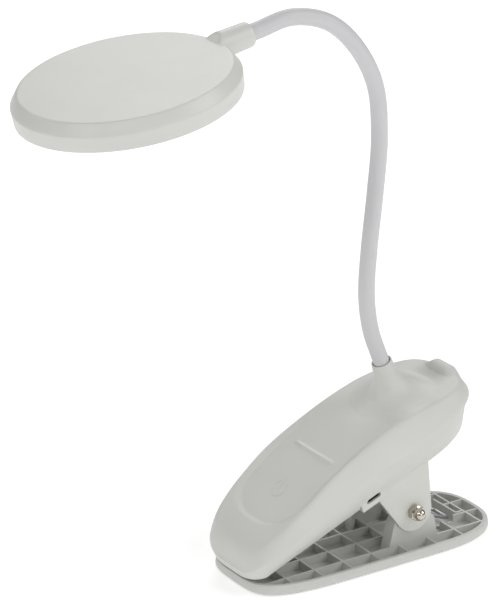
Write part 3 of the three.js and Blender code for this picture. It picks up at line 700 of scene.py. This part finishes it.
def outer_skin():
    """The outside, from the lower edge up over the crown to the boss; edge is where the side ends."""
    outline = housing_oval()
    rings = [flank_ring(outline, t, 0) for t in np.linspace(0, 1, 16)[:-1]]
    for share in 1 - 0.13 * np.linspace(0, 1, 22) ** 1.6:
        plan = drawn_in(HOUSING_PLAN, outline, share)
        rings.append(at_height(plan, crown_height(plan[:, 0], plan[:, 1])))
    edge = rings[-1]
    return edge, rings + crown_rings(edge) + flare_rings(edge)


def bore_rings(edge):
    """Over the boss's rim and down its bore to the inside of the shell."""
    top, bore = BOSS_TOP, BOSS["bore"]
    profile = [(4.92, top - 0.2), (4.8, top), (4.4, top), (4.25, top - 0.15), (bore, top - 0.5),
               (bore, 27.0), (bore, 25.4)]
    return [boss_ring(edge, r, h, 1) for r, h in profile]


def inner_skin(edge):
    """The inside of the shell, from the boss out and down to the lower edge."""
    shoulder_share, boss_room, least_side = 0.88, 7.0, 1.6
    outline = housing_oval(WALL)
    inner_edge = drawn_in(HOUSING_PLAN, outline, shoulder_share)
    foot = boss_ring(edge, boss_room, FLARE_FOOT_H, 0)[:, :2]
    rings = []
    for t in np.linspace(0, 1, 26):
        plan = foot * (1 - t) + inner_edge * t
        rings.append(at_height(plan, crown_height(plan[:, 0], plan[:, 1]) - CROWN_WALL))
    for share in (0.91, 0.94, 0.97, 0.99, 1.0):
        plan = drawn_in(HOUSING_PLAN, outline, share)
        h = crown_height(plan[:, 0], plan[:, 1]) - CROWN_WALL
        rings.append(at_height(plan, np.maximum(h, lower_edge(plan[:, 1]) + least_side)))
    for t in (0.6, 0.3, 0.0):
        ring = flank_ring(outline, t, WALL)
        ring[:, 2] = np.minimum(ring[:, 2], rings[-1][:, 2])
        rings.append(ring)
    return rings


def build_upper_shell():
    edge, outer = outer_skin()
    rings = outer + bore_rings(edge) + inner_skin(edge)
    shell = loft("upper_shell_moulding", rings, sharp=40, close_rings=True)
    moved(shell, HOUSING_PLACE)
    finish_piece(shell, "shell_plastic", "housing", ["upper_shell"])


def build_power_mark():
    """The raised on-off sign of the touch switch: a ring open towards the rear, and a stroke."""
    centre_s, radius, wire = POWER_MARK["s"], POWER_MARK["radius"], POWER_MARK["wire"]
    ring = [(radius * math.sin(a), centre_s + radius * math.cos(a))
            for a in np.radians(np.linspace(38, 322, 64))]
    stroke = [(0, centre_s + along) for along in np.linspace(0.4, 5.6, 10)]
    lines = []
    for plan in (ring, stroke):
        x, s = np.array(plan).T
        path = np.column_stack([x, s, crown_height(x, s) + POWER_MARK["lift"]])
        lines.append(tube_along("line", path, wire, 12))
    mark = moved(join_all(lines, "power_mark"), HOUSING_PLACE)
    tidy_mesh(mark, 60)
    finish_piece(mark, "shell_plastic", "housing")


# ---- lower shell ----
def hull_ring(h, half, rear, inset):
    """Plan of the hull at one height; its rear is kept inside the upper shell's outline."""
    front, columns, margin, rear_part = 40, 300, 0.4, HULL_PLAN["rear_blend"] - 8
    plan = oval(HULL_PLAN, half - inset, front, rear - inset, columns)
    share = housing_share(plan[:, 0], plan[:, 1]) / (1 - (inset + margin) / HOUSING["half"])
    spine = np.clip(plan[:, 1], HOUSING_PLAN["front_blend"], HOUSING_PLAN["rear_blend"])
    shrink = np.where(plan[:, 1] > rear_part, np.maximum(share, 1), 1)
    x = plan[:, 0] / shrink
    s = spine + (plan[:, 1] - spine) / shrink
    return at_height(np.stack([x, s], 1), h)


def hull_solid(inset=0.0):
    """The hull with its rounded bottom edge or, with an inset, the room inside it."""
    bottom, top = HULL[0][0] + inset, HULL[-1][0]
    rounded = [] if inset else [(bottom, 1.4), (bottom + 0.1, 0.8), (bottom + 0.35, 0.3)]
    levels = [(h, 0.0) for h in np.linspace(bottom + 0.7, top, 26)]
    rings = []
    for h, drawn in rounded + levels:
        half = height_on([(row[0], row[1]) for row in HULL], h)
        rear = height_on([(row[0], row[2]) for row in HULL], h)
        rings.append(hull_ring(h, half, rear, inset + drawn))
    if inset:
        rings[0][:, 2] = bottom
    return loft("hull", rings)


def charge_panels():
    """The flat upright panel round the charging socket, and its like on the other side."""
    bottom, top, rear = HULL[0][0], CHARGE_PANEL["top"], CHARGE_PANEL["rear"]
    outline = [(HULL_FRONT, bottom), (rear, bottom), (rear, top), (HULL_FRONT, top)]
    inner, outer = CHARGE_PANEL["inner"] - WALL, CHARGE_PANEL["outer"]
    return [round_edges(plate_on(side, "panel", outline, inner, outer), 0.35) for side in (-1, 1)]


def below_parting(lift):
    """Everything below the parting line, itself raised by lift."""
    line = [(s - lift * 0.5, h + lift) for s, h in PARTING]
    rear, far_below, half = PARTING[-1][0], -60, 50
    return side_plate("below", [*line, (rear, far_below), (line[0][0], far_below)], -half, half)


def rounded_slot(half_s, half_h, steps):
    """An oval outline about the charging socket's middle, in (s, h)."""
    reach = half_s - half_h
    return (arc(USB["s"] + reach, USB["h"], half_h, -90, 90, steps)
            + arc(USB["s"] - reach, USB["h"], half_h, 90, 270, steps))


def usb_window():
    return side_plate("window", rounded_slot(USB["length"] / 2, USB["height"] / 2, 14), 15, 30)


def body_lugs():
    """The two cheeks that hang from the hull outside the jaw's lugs."""
    y, z = PIVOT
    outline = [(-2, 32.7), *arc(y, z, BODY_LUG["tip"], 216.5, 364.6, 40), (25.5, 47), (-2, 36.5)]
    inner, outer = BODY_LUG["inner"], BODY_LUG["outer"]
    return [round_edges(plate_on(side, "body_lug", outline, inner, outer), 0.3) for side in (-1, 1)]


def front_floor():
    """The floor that closes the upper shell from below, from the nose back to the hull."""
    half = SOLE["half"] - WALL - GAP
    front, rear, columns = WALL + GAP + 0.6, 120, 240
    wide = oval(HOUSING_PLAN, HOUSING["half"] - WALL - GAP, front, rear, columns)
    wide[:, 0] = np.clip(wide[:, 0] * SOLE["share"], -half, half)
    floor = loft("floor", [at_height(wide, h) for h in (0.0, WALL)])
    return cut_or_join(floor, block("reach", -40, 40, -5, 66, -1, 5), "INTERSECT")


def build_lower_shell():
    """Hull and panels, hollowed, closed in front, trimmed to the parting line, with its lugs."""
    shell = hull_solid()
    cut_or_join(shell, join_all(charge_panels(), "panels"), "UNION", own_parts=True)
    cut_or_join(shell, block("behind", -40, 40, HULL_FRONT, 150, -20, 60), "INTERSECT")
    cut_or_join(shell, hull_solid(WALL), "DIFFERENCE")
    room = CHARGE_PANEL["inner"]
    cut_or_join(shell, block("room", -room, room, 40, CHARGE_PANEL["rear"] - WALL, 0.3, 17), "DIFFERENCE")
    cut_or_join(shell, front_floor(), "UNION")
    reach = join_all([below_parting(-GAP), block("under", -40, 40, -5, 63.2, -1, 5)], "reach")
    cut_or_join(shell, reach, "INTERSECT", own_parts=True)
    cut_or_join(shell, usb_window(), "DIFFERENCE")
    moved(shell, HOUSING_PLACE)
    cut_or_join(shell, join_all(body_lugs(), "lugs"), "UNION", own_parts=True)
    cut_or_join(shell, hinge_hole(), "DIFFERENCE")
    shell.name = "lower_shell_moulding"
    finish_piece(shell, "shell_plastic", "housing", ["lower_shell"])


# ---- light head ----
def head_hollow():
    """Profile of the room inside the head, open below."""
    base, below = DISC["base"] - DISC["wall"], -DISC["drop"]
    ceiling = DISC["rise"] - DISC["wall"]
    return [(0, below - 1), (base, below - 1), (base, below + 0.3), (DISC["radius"] - DISC["wall"], -0.4),
            (DISC["top"] - DISC["wall"], ceiling), (0, ceiling)]


def head_profile():
    """Up the side, over the bevel to the middle of the top, and back down the inside."""
    r, base, top = DISC["radius"], DISC["base"], DISC["top"]
    rise, drop, wall = DISC["rise"], DISC["drop"], DISC["wall"]
    side = [(base - 0.5, -drop), (base - 0.12, -drop + 0.12), (base, -drop + 0.5), (r - 0.1, -1.4),
            (r, -0.7), (r - 0.05, -0.2), (r - 0.35, 0.35)]
    bevel = [(top + 0.42, rise - 0.5), (top + 0.2, rise - 0.24), (top - 0.08, rise - 0.07)]
    face = [(top - inward, rise) for inward in (0.4, 1.2, 2, 3, 4, 6, 9, 14)] + [(0.01, rise)]
    inside = [(0.01, rise - wall), (top - wall, rise - wall), (r - wall, -0.4),
              (base - wall, -drop + 0.3), (base - wall + 0.3, -drop)]
    return side + bevel + face + inside


def build_head():
    head = lathe("head_shell_moulding", head_profile(), HEAD_SIDES, sharp=28)
    cut_or_join(head, head_collar(), "UNION")
    cut_or_join(head, collar_bore(), "DIFFERENCE")
    head.name = "head_shell_moulding"
    moved(head, HEAD_PLACE)
    finish_piece(head, "shell_plastic", "head", ["head_shell"], material="head_plastic")


def between(a, b, step):
    """Points from a up to b, not including b, no further than step apart."""
    count = max(1, math.ceil(math.dist(a, b) / step))
    return [tuple(p + (q - p) * i / count for p, q in zip(a, b)) for i in range(count)]


def soft_least(a, b, width):
    """The lesser of two heights, rounded over where they cross."""
    mix = min(max(0.5 + 0.5 * (b - a) / width, 0.0), 1.0)
    return b * (1 - mix) + a * mix - width * mix * (1 - mix)


def on_neck_side(piece):
    """Lays a piece turned about +Z out from the disc towards the neck."""
    turn = Matrix.Translation((0, 0, COLLAR["lift"] * MM)) @ Matrix.Rotation(-math.pi / 2, 4, "X")
    return moved(piece, turn)


def head_collar():
    """The sleeve that the neck runs into, its back sloping down into the disc's top."""
    r, tip = COLLAR["radius"], DISC["radius"] + COLLAR["length"]
    profile = [*COLLAR_FLARE, (r, tip - 1.6), (r - 0.08, tip - 0.9), (r - 0.32, tip - 0.35),
               (r - 0.75, tip - 0.05), (r - 1.2, tip), (0, tip)]
    finer = [point for a, b in zip(profile, profile[1:]) for point in between(a, b, 1.0)]
    collar = on_neck_side(lathe("collar", [*finer, profile[-1]], 96))
    for vertex in collar.data.vertices:
        reach, height = vertex.co.y / MM, vertex.co.z / MM
        cap = DISC["rise"] + (reach - COLLAR_SLOPE["start"]) * COLLAR_SLOPE["rise"]
        vertex.co.z = soft_least(height, cap, 1.0) * MM
    return cut_or_join(collar, lathe("hollow", head_hollow(), HEAD_SIDES), "DIFFERENCE")


def collar_bore():
    """The hole that the neck's end sits in, with a small lead-in."""
    r, tip = COLLAR["bore"], DISC["radius"] + COLLAR["length"]
    root = DISC["radius"] - 0.8
    profile = [(0, root), (r, root), (r, tip - 0.4), (r + 0.4, tip + 0.5), (0, tip + 0.5)]
    return on_neck_side(lathe("bore", profile, 64))


def build_diffuser():
    """The milky cover of the light, a thin lens with a rounded edge."""
    profile = [(0, -6.95), (20, -6.93), (40, -6.86), (46.4, -6.8), (47.1, -6.65), (47.4, -6.3),
               (47.4, -5.4), (47.2, -5.2), (0, -5.2)]
    lens = moved(lathe("light_diffuser", profile, HEAD_SIDES), HEAD_PLACE)
    finish_piece(lens, "diffuser_milk", "head", ["diffuser"])


def socket_outline(grow):
    return rounded_slot(USB["can_half_s"] + grow, USB["can_half_h"] + grow, 8)


def build_charging_socket():
    """A drawn steel can behind the window, with a dark throat and its contact tongue."""
    back, front = USB["back"], USB["front"]
    can = side_plate("socket_can", socket_outline(0.03), back, front)
    cut_or_join(can, side_plate("mouth", socket_outline(-0.22), back + 1, front + 2.1), "DIFFERENCE")
    moved(can, HOUSING_PLACE)
    can.name = "charging_socket_can"
    finish_piece(can, "steel", "housing", ["usb_socket"])
    throat = side_plate("socket_throat", socket_outline(-0.26), back + 1, 20.2)
    half_s, half_h = 2.1, 0.2
    tongue = block("tongue", 20.0, 21.2, USB["s"] - half_s, USB["s"] + half_s,
                   USB["h"] - half_h, USB["h"] + half_h)
    inner = moved(join_all([throat, tongue], "charging_socket_tongue"), HOUSING_PLACE)
    tidy_mesh(inner)
    finish_piece(inner, "black_insulation", "housing")


# ---- hinge hardware ----
def on_hinge(piece, side=1):
    """Lays a piece turned about +Z along the hinge line."""
    y, z = PIVOT
    turn = Matrix.Rotation(side * math.pi / 2, 4, "Y")
    return moved(piece, Matrix.Translation((0, y * MM, z * MM)) @ turn)


def chamfered(inner, outer, half, chamfer):
    """Profile of a pin or a tube with chamfered ends, half to each side of its middle."""
    return [(inner, -half), (outer - chamfer, -half), (outer, -half + chamfer), (outer, half - chamfer),
            (outer - chamfer, half), (inner, half)]


def build_rod():
    """The hinge rod, and the tube round it that the spring is wound on."""
    rod = on_hinge(lathe("hinge_rod", chamfered(0, ROD["radius"], ROD["reach"], 0.3), 48))
    finish_piece(rod, "steel", "housing", ["pivot_rod"])
    profile = chamfered(ROD["radius"] + GAP, ROD["mandrel_r"], ROD["mandrel_reach"], 0.25)
    mandrel = on_hinge(lathe("mandrel_tube", profile, 48))
    finish_piece(mandrel, "shell_plastic", "housing", ["spring_mandrel"])


def nut_dome(tall, radius):
    """Profile of the acorn: a short skirt, then a ball."""
    centre = tall - radius
    ball = [(radius * math.cos(a), centre + radius * math.sin(a))
            for a in np.radians(np.linspace(0, 88, 16))]
    return [(0, 1.0), (radius + 0.2, 1.0), (radius + 0.12, centre - 0.5), *ball, (0, tall)]


def build_nut(side, node):
    """A domed hexagon nut; the cone chamfers the hexagon's corners."""
    corner, high, bore = NUT["flats"] / math.sqrt(3), NUT["hex_high"], ROD["radius"] + GAP
    hexagon = lathe("hex", [(0, 0), (corner, 0), (corner, high), (0, high)], 6)
    chamfer = [(0, 0), (corner - 0.25, 0), (corner + 0.05, 0.35), (corner + 0.05, high - 0.75),
               (corner - 0.75, high), (0, high)]
    nut = cut_or_join(hexagon, lathe("cone", chamfer, 96), "INTERSECT")
    cut_or_join(nut, lathe("dome", nut_dome(NUT["tall"], NUT["dome_r"]), 64), "UNION")
    cut_or_join(nut, lathe("bore", [(0, -1), (bore, -1), (bore, 4.2), (0, 4.2)], 32), "DIFFERENCE")
    nut.name = f"{node}_turned"
    on_hinge(nut, side)
    moved(nut, Matrix.Translation((side * (BODY_LUG["outer"] + GAP) * MM, 0, 0)))
    finish_piece(nut, "nickel_plate", "housing", [node])


def spring_half(side):
    """Half of the double torsion spring, from the bridge's middle to the tip of the upper leg."""
    y, z = PIVOT
    inner, pitch, turns, coil_r = SPRING["inner"], SPRING["pitch"], SPRING["turns"], SPRING["coil_r"]
    path = [(2, 50, 4.4), (5, 49.6, 4.6), (6, 48, 5.4), (5.5, 38, 9.5)]
    steps = round(turns * 24)
    for i in range(steps + 1):
        angle = math.radians(SPRING["start"]) - 2 * math.pi * turns * i / steps
        path.append((inner + pitch * turns * i / steps, y + coil_r * math.cos(angle),
                     z + coil_r * math.sin(angle)))
    outer = inner + pitch * turns
    path += [(outer, 24.5, 32.5), (outer - 0.6, 32, 42), (outer - 1, 34.5, 45.4)]
    return [(side * px, py, pz) for px, py, pz in path]


def build_spring():
    """Wound wire: its lower legs bear on the jaw and its upper legs on the housing; the wire is one fixed
    piece, tied to no body.
    """
    path = centripetal(spring_half(-1)[::-1] + spring_half(1), 4)
    spring = tube_along("torsion_spring_wire", path, SPRING["wire_r"], 20)
    finish_piece(spring, "steel", None, ["torsion_spring"])
    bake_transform(spring)


# ---- neck ----
def centripetal(points, samples):
    """A centripetal Catmull-Rom line through the points."""
    p = np.array(points, float)
    p = np.vstack([2 * p[0] - p[1], p, 2 * p[-1] - p[-2]])
    out = []
    for i in range(1, len(p) - 2):
        p0, p1, p2, p3 = p[i - 1:i + 3]
        t = [0.0]
        for a, b in ((p0, p1), (p1, p2), (p2, p3)):
            t.append(t[-1] + np.linalg.norm(b - a) ** 0.5)
        for u in np.linspace(t[1], t[2], samples, endpoint=False):
            a1 = (t[1] - u) / (t[1] - t[0]) * p0 + (u - t[0]) / (t[1] - t[0]) * p1
            a2 = (t[2] - u) / (t[2] - t[1]) * p1 + (u - t[1]) / (t[2] - t[1]) * p2
            a3 = (t[3] - u) / (t[3] - t[2]) * p2 + (u - t[2]) / (t[3] - t[2]) * p3
            b1 = (t[2] - u) / (t[2] - t[0]) * a1 + (u - t[0]) / (t[2] - t[0]) * a2
            b2 = (t[3] - u) / (t[3] - t[1]) * a2 + (u - t[1]) / (t[3] - t[1]) * a3
            out.append((t[2] - u) / (t[2] - t[1]) * b1 + (u - t[1]) / (t[2] - t[1]) * b2)
    out.append(p[-2])
    return np.array(out)


def tube_along(name, path, radius, sides):
    """A round tube along a line in space, its section carried along without twist."""
    path = np.array(path, float)
    heading = np.gradient(path, axis=0)
    heading /= np.linalg.norm(heading, axis=1)[:, None]
    side = np.cross(heading[0], (0.3, 0.5, 0.81))
    angles = np.arange(sides) * 2 * math.pi / sides
    rings = []
    for point, ahead in zip(path, heading):
        side = side - ahead * np.dot(side, ahead)
        side /= np.linalg.norm(side)
        up = np.cross(ahead, side)
        rings.append(point + radius * (np.cos(angles)[:, None] * side + np.sin(angles)[:, None] * up))
    return loft(name, rings)


class NeckLine:
    """The neck's centre line in the plane X = 0, by distance along it."""

    def __init__(self):
        self.points = centripetal(NECK_POINTS, 60)
        steps = np.linalg.norm(np.diff(self.points, axis=0), axis=1)
        self.along = np.r_[0, np.cumsum(steps)]
        self.length = self.along[-1]

    def at(self, distance):
        return np.array([np.interp(distance, self.along, self.points[:, k]) for k in (0, 1)])

    def heading(self, distance):
        step = self.at(distance + 0.4) - self.at(distance - 0.4)
        return step / np.linalg.norm(step)

    def nearest(self, y, z):
        return self.along[np.argmin(np.hypot(self.points[:, 0] - y, self.points[:, 1] - z))]


def sleeve_between(name, line, start, end):
    """The neck's sleeve from one distance along its line to another."""
    sides, step = 40, 1.2
    stations = np.linspace(start, end, max(3, int((end - start) / step) + 1))
    angles = np.arange(sides) * 2 * math.pi / sides
    rings = []
    for d in stations:
        y, z = line.at(d)
        dy, dz = line.heading(np.clip(d, 0.4, line.length - 0.4))
        across = NECK_R * np.cos(angles)
        off = NECK_R * np.sin(angles)
        rings.append(np.column_stack([across, y - dz * off, z + dy * off]))
    return loft(name, rings)


def build_neck():
    """One stretch of sleeve over each hinge, from the middle of one bead to the middle of the next."""
    line = NeckLine()
    joints = [j for j in frame["joints"] if j["parent"] != "jaw"]
    at = [line.nearest(j["pos_m"][1] / MM, j["pos_m"][2] / MM) for j in joints]
    trim = 0.2
    ends = [trim] + [(a + b) / 2 for a, b in zip(at, at[1:])] + [line.length - trim]
    for i, joint in enumerate(joints):
        sleeve = sleeve_between(f"neck_sleeve_{i + 1}", line, ends[i], ends[i + 1])
        nodes = ["neck_root", "neck_link_1"] if i == 0 else [f"neck_link_{i + 1}"]
        if joint["child"] == "head":
            nodes = ["neck_end"]
        finish_piece(sleeve, "neck_sleeve", None, nodes)
        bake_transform(sleeve)


# ---- pieces carried over from the CAD ----
def dress_cad_nodes():
    """Gives every CAD node that still shows the material of its slot."""
    for row in frame["record"]["subparts"]:
        node = frame["nodes"][row["node"]]
        if node.hide_render:
            continue
        node.data.materials.clear()
        node.data.materials.append(MATERIALS[row["material_slot"]])
        node.data.shade_smooth()
        node.data.set_sharp_from_angle(angle=math.radians(35))


# ---- stage ----
def build_camera():
    """A long lens from the front right and a little above."""
    azimuth, elevation, distance = math.radians(56.84), math.radians(21.24), 1.3723
    target = Vector((0, -0.06071, 0.13784))
    back = Vector((math.sin(azimuth) * math.cos(elevation), -math.cos(azimuth) * math.cos(elevation),
                   math.sin(elevation)))
    camera = bpy.data.cameras.new("camera")
    camera.lens = 184.97
    camera.sensor_width = 36.0
    camera.clip_start = 0.01
    camera.clip_end = 50.0
    eye = bpy.data.objects.new("camera", camera)
    eye.location = target + back * distance
    eye.rotation_euler = back.to_track_quat("Z", "Y").to_euler()
    bpy.context.scene.collection.objects.link(eye)
    bpy.context.scene.camera = eye


def build_floor():
    """A white sheet, faintly bright of its own, that runs far past the lamp."""
    half = 8.0
    corners = [(-half, -half, 0), (half, -half, 0), (half, half, 0), (-half, half, 0)]
    mesh = bpy.data.meshes.new("floor")
    mesh.from_pydata(corners, [], [(0, 1, 2, 3)])
    floor = bpy.data.objects.new("floor", mesh)
    bpy.context.scene.collection.objects.link(floor)
    material, _, shader = new_material("floor_paper", 0.9, specular=0.1)
    shader.inputs["Base Color"].default_value = (0.92, 0.92, 0.92, 1)
    shader.inputs["Emission Color"].default_value = (1, 1, 1, 1)
    shader.inputs["Emission Strength"].default_value = 0.34
    mesh.materials.append(material)


def area_light(name, location, size, power):
    light = bpy.data.lights.new(name, "AREA")
    light.size = size
    light.energy = power
    lamp = bpy.data.objects.new(name, light)
    lamp.location = location
    aim = Vector((0, -0.03, 0.12)) - Vector(location)
    lamp.rotation_euler = aim.to_track_quat("-Z", "Y").to_euler()
    bpy.context.scene.collection.objects.link(lamp)


def build_lights():
    """White surroundings and six softboxes, with no hard shadow."""
    world = bpy.data.worlds.new("studio")
    world.use_nodes = True
    background = world.node_tree.nodes["Background"]
    background.inputs["Color"].default_value = (1, 1, 1, 1)
    background.inputs["Strength"].default_value = 0.27
    bpy.context.scene.world = world
    area_light("key", (1.1, 1.3, 1.5), 1.2, 16)
    area_light("back_left", (-1.3, 0.9, 1.3), 1.2, 11)
    area_light("front", (0.2, -1.8, 1.25), 0.8, 7)
    area_light("front_right", (1.0, -1.3, 1.75), 0.8, 6.5)
    area_light("side", (1.7, -0.1, 0.7), 1.0, 5)
    area_light("left", (-1.5, -0.85, 1.3), 0.5, 4)


build_camera()
build_floor()
build_lights()
build_neck()
build_upper_shell()
build_power_mark()
build_lower_shell()
build_head()
build_diffuser()
build_charging_socket()
build_rod()
build_nut(-1, "acorn_nut_left")
build_nut(1, "acorn_nut_right")
build_spring()
build_jaw()
dress_cad_nodes()

bpy.context.scene.view_settings.view_transform = "Standard"
bpy.context.view_layer.update()
